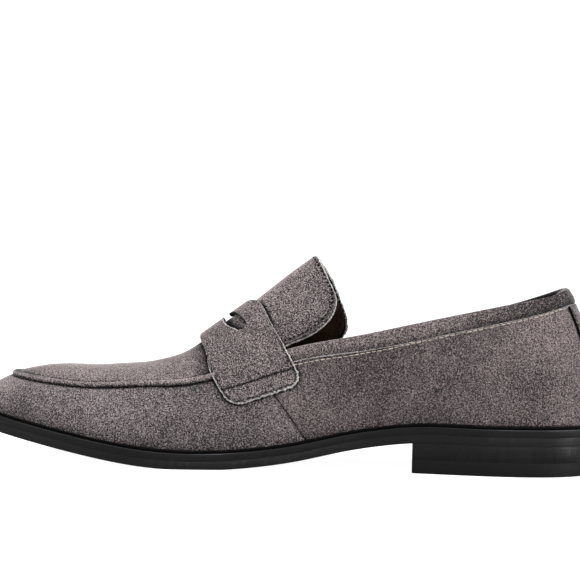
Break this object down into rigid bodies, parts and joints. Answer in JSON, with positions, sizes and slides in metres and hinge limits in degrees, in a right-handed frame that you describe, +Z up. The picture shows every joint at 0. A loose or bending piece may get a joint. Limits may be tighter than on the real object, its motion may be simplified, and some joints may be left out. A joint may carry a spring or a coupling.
{
  "type": "penny loafer",
  "caption": "Right-foot suede penny loafer: lasted upper with raised apron seam, slotted saddle strap and tongue on a black welted sole with a low stacked heel.",
  "frame": {"origin": "on the floor under the middle of the shoe's bounding box", "axes": "+X towards the heel, so the toe points to -X; +Y towards the outer side of the foot; +Z up"},
  "size_m": [0.303, 0.103, 0.1004],
  "materials": {
    "suede": "napped grey-taupe suede",
    "edge_suede": "napped suede, folded edge",
    "lining": "smooth dark brown lining",
    "sole_rubber": "semi-matte black",
    "top_piece_rubber": "matte black"
  },
  "bodies": {
    "root": {"outsole": "sole_rubber", "welt": "sole_rubber", "heel_block": "sole_rubber", "heel_top_piece": "top_piece_rubber", "insole": "lining", "upper": "suede", "tongue": "suede", "penny_strap": "suede", "apron_piping": "edge_suede", "collar_binding": "edge_suede", "back_strip": "suede"}
  },
  "joints": []
}
